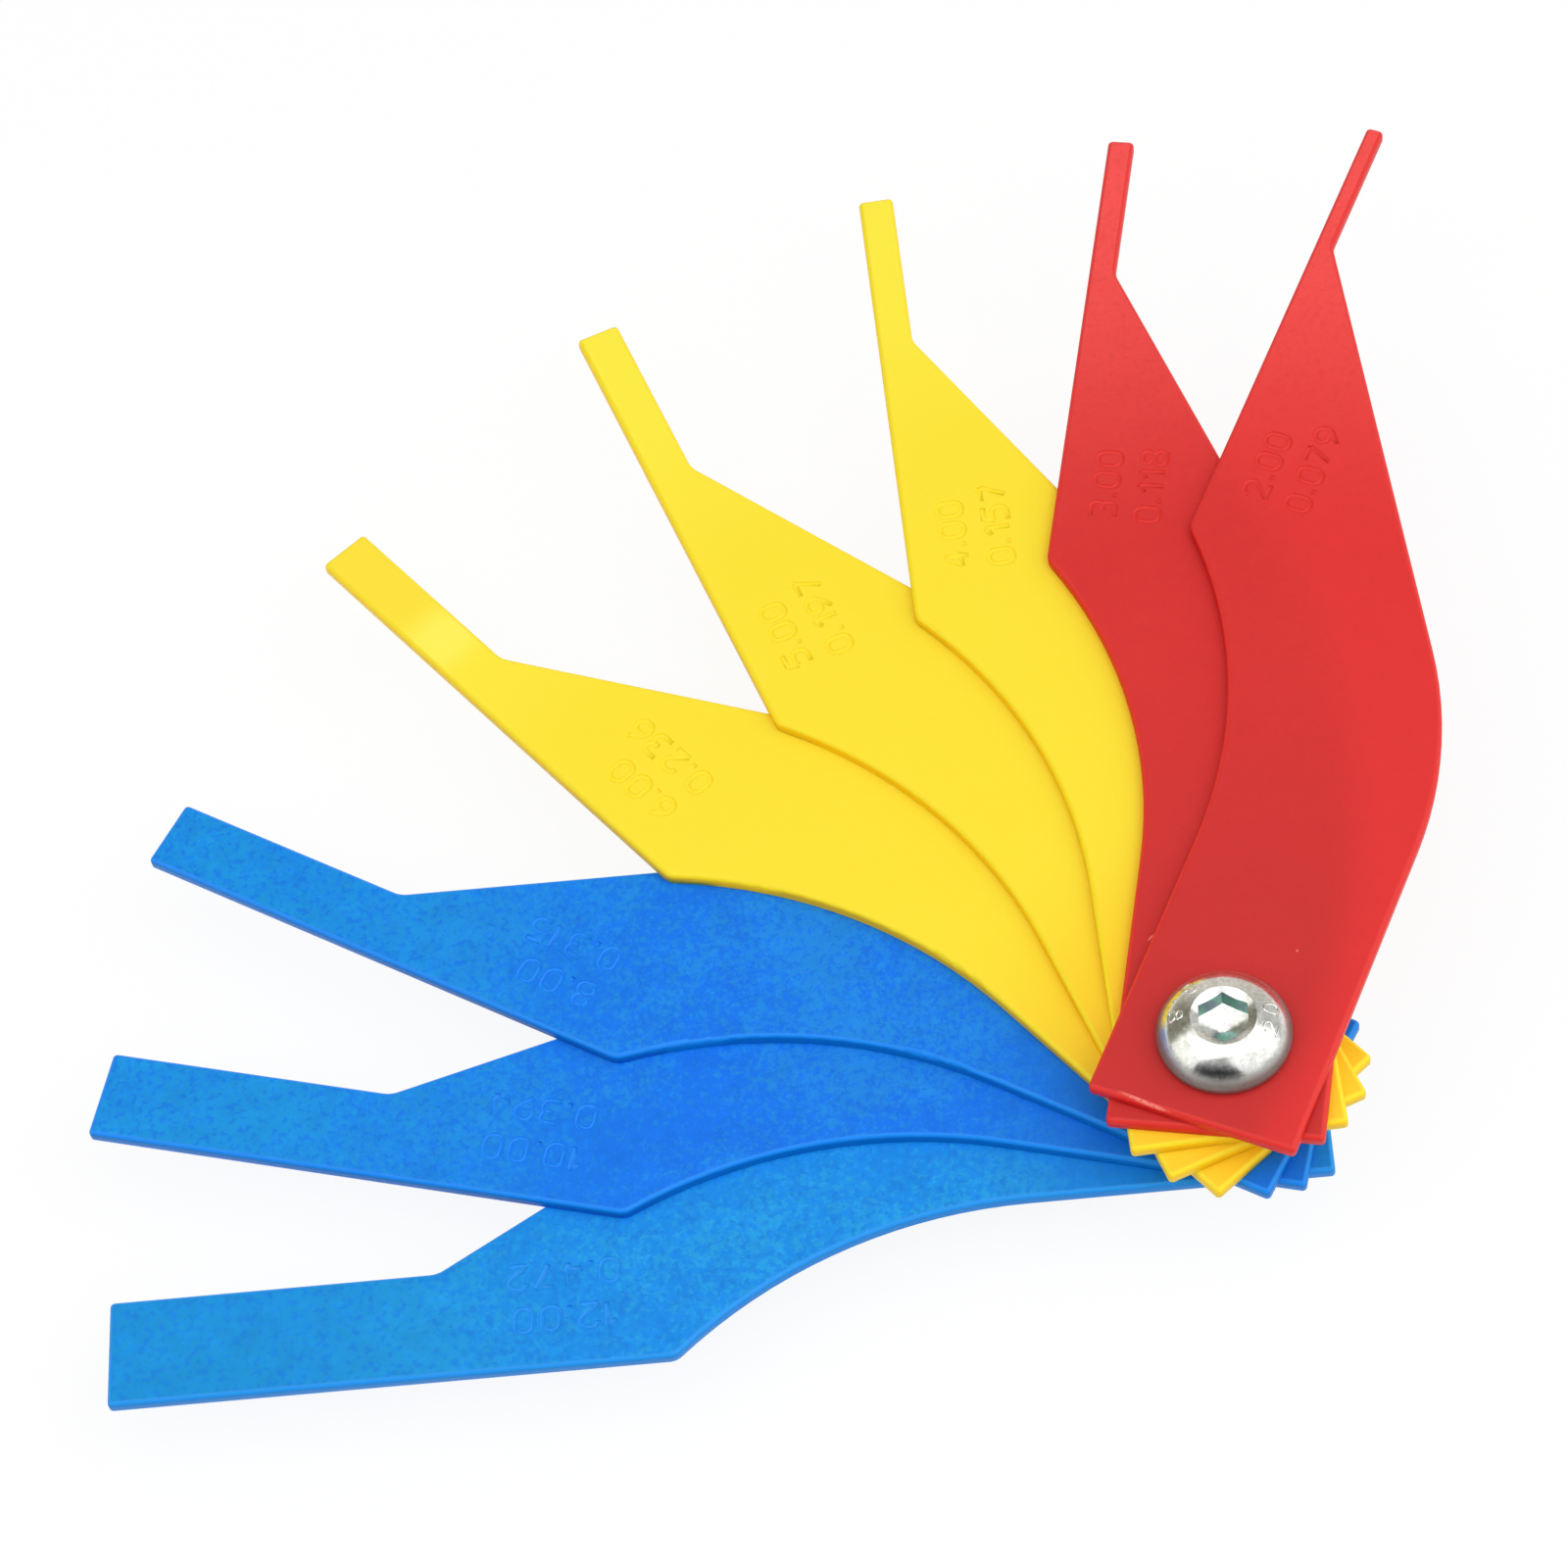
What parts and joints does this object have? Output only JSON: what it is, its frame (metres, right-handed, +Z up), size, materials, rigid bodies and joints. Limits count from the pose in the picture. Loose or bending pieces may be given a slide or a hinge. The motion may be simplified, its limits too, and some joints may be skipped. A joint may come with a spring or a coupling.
{
  "type": "brake pad thickness gauge",
  "caption": "Fan of flat coloured plastic gauge blades with tips of rising width, turning on a button-head screw held by a lock nut.",
  "frame": {"origin": "middle of the pivot screw's flat lower end, on the pivot axis", "axes": "+Z up along the pivot axis, from the screw's end to its head; the blades lie in XY"},
  "size_m": [0.1639, 0.1399, 0.0244],
  "materials": {
    "red_plastic": "satin",
    "yellow_plastic": "satin",
    "blue_plastic": "satin",
    "zinc_steel": "bright zinc plated",
    "nylon": "satin"
  },
  "bodies": {
    "pivot": {"pivot_screw": "zinc_steel", "lock_nut": "zinc_steel", "nut_insert": "nylon"},
    "blade_2mm": {"blade_2mm": "red_plastic"},
    "blade_3mm": {"blade_3mm": "red_plastic"},
    "blade_4mm": {"blade_4mm": "yellow_plastic"},
    "blade_5mm": {"blade_5mm": "yellow_plastic"},
    "blade_6mm": {"blade_6mm": "yellow_plastic"},
    "blade_8mm": {"blade_8mm": "blue_plastic"},
    "blade_10mm": {"blade_10mm": "blue_plastic"},
    "blade_12mm": {"blade_12mm": "blue_plastic"}
  },
  "joints": [
    {"name": "turn_2mm", "type": "hinge", "parent": "pivot", "child": "blade_2mm", "pos_m": [0, 0, 0], "axis": [0, 0, 1], "continuous": true},
    {"name": "turn_3mm", "type": "hinge", "parent": "pivot", "child": "blade_3mm", "pos_m": [0, 0, 0], "axis": [0, 0, 1], "continuous": true},
    {"name": "turn_4mm", "type": "hinge", "parent": "pivot", "child": "blade_4mm", "pos_m": [0, 0, 0], "axis": [0, 0, 1], "continuous": true},
    {"name": "turn_5mm", "type": "hinge", "parent": "pivot", "child": "blade_5mm", "pos_m": [0, 0, 0], "axis": [0, 0, 1], "continuous": true},
    {"name": "turn_6mm", "type": "hinge", "parent": "pivot", "child": "blade_6mm", "pos_m": [0, 0, 0], "axis": [0, 0, 1], "continuous": true},
    {"name": "turn_8mm", "type": "hinge", "parent": "pivot", "child": "blade_8mm", "pos_m": [0, 0, 0], "axis": [0, 0, 1], "continuous": true},
    {"name": "turn_10mm", "type": "hinge", "parent": "pivot", "child": "blade_10mm", "pos_m": [0, 0, 0], "axis": [0, 0, 1], "continuous": true},
    {"name": "turn_12mm", "type": "hinge", "parent": "pivot", "child": "blade_12mm", "pos_m": [0, 0, 0], "axis": [0, 0, 1], "continuous": true}
  ]
}
